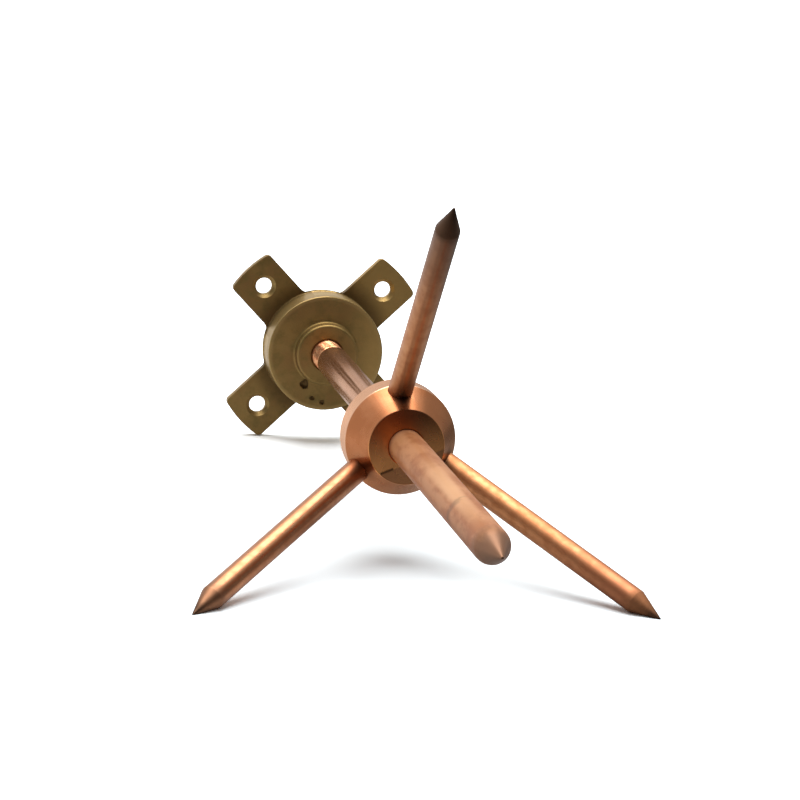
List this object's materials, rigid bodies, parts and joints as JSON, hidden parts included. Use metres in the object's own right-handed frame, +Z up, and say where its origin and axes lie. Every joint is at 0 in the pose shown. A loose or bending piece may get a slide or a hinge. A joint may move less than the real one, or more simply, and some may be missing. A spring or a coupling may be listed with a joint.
{
  "type": "multi-point lightning rod",
  "caption": "Pointed copper air rod screwed into a four-arm cast base with countersunk fixing holes, carrying a turned hub with slanted pointed spikes.",
  "frame": {"origin": "centre of the base's underside, on the rod's axis", "axes": "+Z up along the rod towards its point; +Y midway between two arms of the base, close to one spike"},
  "size_m": [0.1953, 0.1698, 0.4245],
  "materials": {
    "gunmetal": "cast, dull olive brown",
    "drawn_copper": "bright drawn",
    "turned_copper": "satin turned",
    "screw_steel": "plain"
  },
  "bodies": {
    "root": {"saddle_base": "gunmetal", "air_rod": "drawn_copper", "point_hub": "turned_copper", "spike_a": "turned_copper", "spike_b": "turned_copper", "spike_c": "turned_copper", "hub_grub_screw": "screw_steel"}
  },
  "joints": []
}
